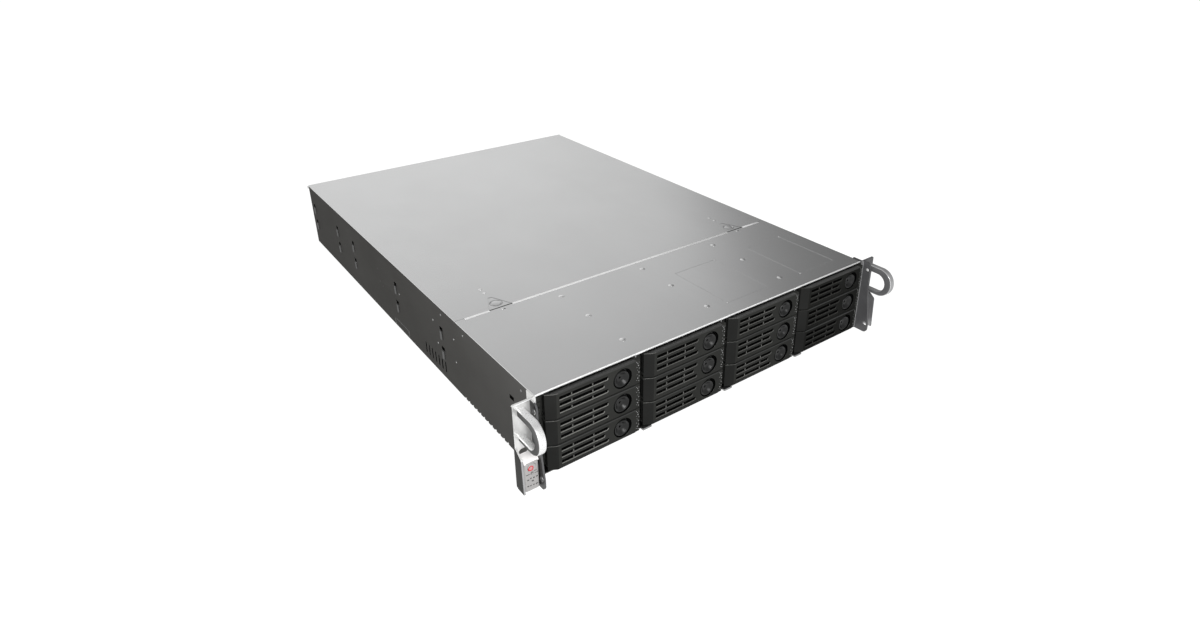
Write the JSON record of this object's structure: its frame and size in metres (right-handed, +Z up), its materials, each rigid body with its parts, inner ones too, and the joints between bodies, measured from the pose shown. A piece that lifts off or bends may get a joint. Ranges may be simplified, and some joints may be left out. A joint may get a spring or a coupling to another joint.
{
  "type": "rackmount storage expansion unit",
  "caption": "Flat steel rackmount storage case with a grid of lever-front drive trays, rack ears with loop handles and a sliding rear cover.",
  "frame": {"origin": "centre of the chassis underside", "axes": "+X to the right seen from the front, +Y from the drive trays to the rear panel, +Z up"},
  "size_m": [0.4826, 0.7035, 0.0899],
  "materials": {
    "steel": "satin zinc-plated sheet",
    "fastener_steel": "plain steel",
    "ear_steel": "satin plated sheet",
    "handle_metal": "polished casting",
    "panel_grey": "light grey satin",
    "button_grey": "light grey with a red ring",
    "bezel_black": "fine satin black",
    "circuit_board": "green solder mask",
    "fan_black": "matt black",
    "module_metal": "plain sheet",
    "latch_plastic": "dark red"
  },
  "bodies": {
    "chassis": {"chassis_pan": "steel", "rear_panel": "steel", "front_top_cover": "steel", "cage_rivets": "fastener_steel", "drive_cage": "steel", "backplane": "circuit_board", "fan_wall": "steel", "fan_frames": "fan_black", "control_board": "circuit_board", "left_ear": "ear_steel", "right_ear": "ear_steel", "handles": "handle_metal", "control_panel": "panel_grey"},
    "tray_r1_c1": {"tray_r1_c1": "bezel_black"},
    "lever_r1_c1": {"lever_r1_c1": "bezel_black"},
    "button_r1_c1": {"button_r1_c1": "bezel_black"},
    "tray_r1_c2": {"tray_r1_c2": "bezel_black"},
    "lever_r1_c2": {"lever_r1_c2": "bezel_black"},
    "button_r1_c2": {"button_r1_c2": "bezel_black"},
    "tray_r1_c3": {"tray_r1_c3": "bezel_black"},
    "lever_r1_c3": {"lever_r1_c3": "bezel_black"},
    "button_r1_c3": {"button_r1_c3": "bezel_black"},
    "tray_r1_c4": {"tray_r1_c4": "bezel_black"},
    "lever_r1_c4": {"lever_r1_c4": "bezel_black"},
    "button_r1_c4": {"button_r1_c4": "bezel_black"},
    "tray_r2_c1": {"tray_r2_c1": "bezel_black"},
    "lever_r2_c1": {"lever_r2_c1": "bezel_black"},
    "button_r2_c1": {"button_r2_c1": "bezel_black"},
    "tray_r2_c2": {"tray_r2_c2": "bezel_black"},
    "lever_r2_c2": {"lever_r2_c2": "bezel_black"},
    "button_r2_c2": {"button_r2_c2": "bezel_black"},
    "tray_r2_c3": {"tray_r2_c3": "bezel_black"},
    "lever_r2_c3": {"lever_r2_c3": "bezel_black"},
    "button_r2_c3": {"button_r2_c3": "bezel_black"},
    "tray_r2_c4": {"tray_r2_c4": "bezel_black"},
    "lever_r2_c4": {"lever_r2_c4": "bezel_black"},
    "button_r2_c4": {"button_r2_c4": "bezel_black"},
    "tray_r3_c1": {"tray_r3_c1": "bezel_black"},
    "lever_r3_c1": {"lever_r3_c1": "bezel_black"},
    "button_r3_c1": {"button_r3_c1": "bezel_black"},
    "tray_r3_c2": {"tray_r3_c2": "bezel_black"},
    "lever_r3_c2": {"lever_r3_c2": "bezel_black"},
    "button_r3_c2": {"button_r3_c2": "bezel_black"},
    "tray_r3_c3": {"tray_r3_c3": "bezel_black"},
    "lever_r3_c3": {"lever_r3_c3": "bezel_black"},
    "button_r3_c3": {"button_r3_c3": "bezel_black"},
    "tray_r3_c4": {"tray_r3_c4": "bezel_black"},
    "lever_r3_c4": {"lever_r3_c4": "bezel_black"},
    "button_r3_c4": {"button_r3_c4": "bezel_black"},
    "rear_top_cover": {"rear_top_cover": "steel"},
    "cover_latch_left": {"cover_latch_left": "fastener_steel"},
    "cover_latch_right": {"cover_latch_right": "fastener_steel"},
    "power_button": {"power_button": "button_grey"},
    "fan_rotor_1": {"fan_rotor_1": "fan_black"},
    "fan_rotor_2": {"fan_rotor_2": "fan_black"},
    "fan_rotor_3": {"fan_rotor_3": "fan_black"},
    "power_supply_1": {"power_supply_1": "module_metal"},
    "power_latch_1": {"power_latch_1": "latch_plastic"},
    "power_supply_2": {"power_supply_2": "module_metal"},
    "power_latch_2": {"power_latch_2": "latch_plastic"}
  },
  "joints": [
    {"name": "tray_r1_c1_slide", "type": "slide", "parent": "chassis", "child": "tray_r1_c1", "axis": [0, -1, 0], "range_m": [0, 0.15]},
    {"name": "lever_r1_c1_hinge", "type": "hinge", "parent": "tray_r1_c1", "child": "lever_r1_c1", "pos_m": [-0.2055, -0.321, 0.0723], "axis": [0, 0, -1], "range_deg": [0, 60]},
    {"name": "button_r1_c1_press", "type": "slide", "parent": "lever_r1_c1", "child": "button_r1_c1", "axis": [0, 1, 0], "range_m": [0, 0.002], "stiffness_N_per_m": 400},
    {"name": "tray_r1_c2_slide", "type": "slide", "parent": "chassis", "child": "tray_r1_c2", "axis": [0, -1, 0], "range_m": [0, 0.15]},
    {"name": "lever_r1_c2_hinge", "type": "hinge", "parent": "tray_r1_c2", "child": "lever_r1_c2", "pos_m": [-0.09675, -0.321, 0.0723], "axis": [0, 0, -1], "range_deg": [0, 60]},
    {"name": "button_r1_c2_press", "type": "slide", "parent": "lever_r1_c2", "child": "button_r1_c2", "axis": [0, 1, 0], "range_m": [0, 0.002], "stiffness_N_per_m": 400},
    {"name": "tray_r1_c3_slide", "type": "slide", "parent": "chassis", "child": "tray_r1_c3", "axis": [0, -1, 0], "range_m": [0, 0.15]},
    {"name": "lever_r1_c3_hinge", "type": "hinge", "parent": "tray_r1_c3", "child": "lever_r1_c3", "pos_m": [0.012, -0.321, 0.0723], "axis": [0, 0, -1], "range_deg": [0, 60]},
    {"name": "button_r1_c3_press", "type": "slide", "parent": "lever_r1_c3", "child": "button_r1_c3", "axis": [0, 1, 0], "range_m": [0, 0.002], "stiffness_N_per_m": 400},
    {"name": "tray_r1_c4_slide", "type": "slide", "parent": "chassis", "child": "tray_r1_c4", "axis": [0, -1, 0], "range_m": [0, 0.15]},
    {"name": "lever_r1_c4_hinge", "type": "hinge", "parent": "tray_r1_c4", "child": "lever_r1_c4", "pos_m": [0.12075, -0.321, 0.0723], "axis": [0, 0, -1], "range_deg": [0, 60]},
    {"name": "button_r1_c4_press", "type": "slide", "parent": "lever_r1_c4", "child": "button_r1_c4", "axis": [0, 1, 0], "range_m": [0, 0.002], "stiffness_N_per_m": 400},
    {"name": "tray_r2_c1_slide", "type": "slide", "parent": "chassis", "child": "tray_r2_c1", "axis": [0, -1, 0], "range_m": [0, 0.15]},
    {"name": "lever_r2_c1_hinge", "type": "hinge", "parent": "tray_r2_c1", "child": "lever_r2_c1", "pos_m": [-0.2055, -0.321, 0.0445], "axis": [0, 0, -1], "range_deg": [0, 60]},
    {"name": "button_r2_c1_press", "type": "slide", "parent": "lever_r2_c1", "child": "button_r2_c1", "axis": [0, 1, 0], "range_m": [0, 0.002], "stiffness_N_per_m": 400},
    {"name": "tray_r2_c2_slide", "type": "slide", "parent": "chassis", "child": "tray_r2_c2", "axis": [0, -1, 0], "range_m": [0, 0.15]},
    {"name": "lever_r2_c2_hinge", "type": "hinge", "parent": "tray_r2_c2", "child": "lever_r2_c2", "pos_m": [-0.09675, -0.321, 0.0445], "axis": [0, 0, -1], "range_deg": [0, 60]},
    {"name": "button_r2_c2_press", "type": "slide", "parent": "lever_r2_c2", "child": "button_r2_c2", "axis": [0, 1, 0], "range_m": [0, 0.002], "stiffness_N_per_m": 400},
    {"name": "tray_r2_c3_slide", "type": "slide", "parent": "chassis", "child": "tray_r2_c3", "axis": [0, -1, 0], "range_m": [0, 0.15]},
    {"name": "lever_r2_c3_hinge", "type": "hinge", "parent": "tray_r2_c3", "child": "lever_r2_c3", "pos_m": [0.012, -0.321, 0.0445], "axis": [0, 0, -1], "range_deg": [0, 60]},
    {"name": "button_r2_c3_press", "type": "slide", "parent": "lever_r2_c3", "child": "button_r2_c3", "axis": [0, 1, 0], "range_m": [0, 0.002], "stiffness_N_per_m": 400},
    {"name": "tray_r2_c4_slide", "type": "slide", "parent": "chassis", "child": "tray_r2_c4", "axis": [0, -1, 0], "range_m": [0, 0.15]},
    {"name": "lever_r2_c4_hinge", "type": "hinge", "parent": "tray_r2_c4", "child": "lever_r2_c4", "pos_m": [0.12075, -0.321, 0.0445], "axis": [0, 0, -1], "range_deg": [0, 60]},
    {"name": "button_r2_c4_press", "type": "slide", "parent": "lever_r2_c4", "child": "button_r2_c4", "axis": [0, 1, 0], "range_m": [0, 0.002], "stiffness_N_per_m": 400},
    {"name": "tray_r3_c1_slide", "type": "slide", "parent": "chassis", "child": "tray_r3_c1", "axis": [0, -1, 0], "range_m": [0, 0.15]},
    {"name": "lever_r3_c1_hinge", "type": "hinge", "parent": "tray_r3_c1", "child": "lever_r3_c1", "pos_m": [-0.2055, -0.321, 0.0167], "axis": [0, 0, -1], "range_deg": [0, 60]},
    {"name": "button_r3_c1_press", "type": "slide", "parent": "lever_r3_c1", "child": "button_r3_c1", "axis": [0, 1, 0], "range_m": [0, 0.002], "stiffness_N_per_m": 400},
    {"name": "tray_r3_c2_slide", "type": "slide", "parent": "chassis", "child": "tray_r3_c2", "axis": [0, -1, 0], "range_m": [0, 0.15]},
    {"name": "lever_r3_c2_hinge", "type": "hinge", "parent": "tray_r3_c2", "child": "lever_r3_c2", "pos_m": [-0.09675, -0.321, 0.0167], "axis": [0, 0, -1], "range_deg": [0, 60]},
    {"name": "button_r3_c2_press", "type": "slide", "parent": "lever_r3_c2", "child": "button_r3_c2", "axis": [0, 1, 0], "range_m": [0, 0.002], "stiffness_N_per_m": 400},
    {"name": "tray_r3_c3_slide", "type": "slide", "parent": "chassis", "child": "tray_r3_c3", "axis": [0, -1, 0], "range_m": [0, 0.15]},
    {"name": "lever_r3_c3_hinge", "type": "hinge", "parent": "tray_r3_c3", "child": "lever_r3_c3", "pos_m": [0.012, -0.321, 0.0167], "axis": [0, 0, -1], "range_deg": [0, 60]},
    {"name": "button_r3_c3_press", "type": "slide", "parent": "lever_r3_c3", "child": "button_r3_c3", "axis": [0, 1, 0], "range_m": [0, 0.002], "stiffness_N_per_m": 400},
    {"name": "tray_r3_c4_slide", "type": "slide", "parent": "chassis", "child": "tray_r3_c4", "axis": [0, -1, 0], "range_m": [0, 0.15]},
    {"name": "lever_r3_c4_hinge", "type": "hinge", "parent": "tray_r3_c4", "child": "lever_r3_c4", "pos_m": [0.12075, -0.321, 0.0167], "axis": [0, 0, -1], "range_deg": [0, 60]},
    {"name": "button_r3_c4_press", "type": "slide", "parent": "lever_r3_c4", "child": "button_r3_c4", "axis": [0, 1, 0], "range_m": [0, 0.002], "stiffness_N_per_m": 400},
    {"name": "rear_cover_slide", "type": "slide", "parent": "chassis", "child": "rear_top_cover", "axis": [0, 1, 0], "range_m": [0, 0.02]},
    {"name": "cover_latch_left_press", "type": "slide", "parent": "rear_top_cover", "child": "cover_latch_left", "axis": [0, 0, -1], "range_m": [0, 0.001], "stiffness_N_per_m": 1500},
    {"name": "cover_latch_right_press", "type": "slide", "parent": "rear_top_cover", "child": "cover_latch_right", "axis": [0, 0, -1], "range_m": [0, 0.001], "stiffness_N_per_m": 1500},
    {"name": "power_button_press", "type": "slide", "parent": "chassis", "child": "power_button", "axis": [0, 1, 0], "range_m": [0, 0.0012], "stiffness_N_per_m": 400},
    {"name": "fan_rotor_1_spin", "type": "hinge", "parent": "chassis", "child": "fan_rotor_1", "pos_m": [-0.136, -0.1184, 0.0445], "axis": [0, 1, 0], "continuous": true},
    {"name": "fan_rotor_2_spin", "type": "hinge", "parent": "chassis", "child": "fan_rotor_2", "pos_m": [0, -0.1184, 0.0445], "axis": [0, 1, 0], "continuous": true},
    {"name": "fan_rotor_3_spin", "type": "hinge", "parent": "chassis", "child": "fan_rotor_3", "pos_m": [0.136, -0.1184, 0.0445], "axis": [0, 1, 0], "continuous": true},
    {"name": "power_supply_1_slide", "type": "slide", "parent": "chassis", "child": "power_supply_1", "axis": [0, 1, 0], "range_m": [0, 0.25]},
    {"name": "power_latch_1_slide", "type": "slide", "parent": "power_supply_1", "child": "power_latch_1", "axis": [1, 0, 0], "range_m": [0, 0.003], "stiffness_N_per_m": 400},
    {"name": "power_supply_2_slide", "type": "slide", "parent": "chassis", "child": "power_supply_2", "axis": [0, 1, 0], "range_m": [0, 0.25]},
    {"name": "power_latch_2_slide", "type": "slide", "parent": "power_supply_2", "child": "power_latch_2", "axis": [1, 0, 0], "range_m": [0, 0.003], "stiffness_N_per_m": 400}
  ]
}
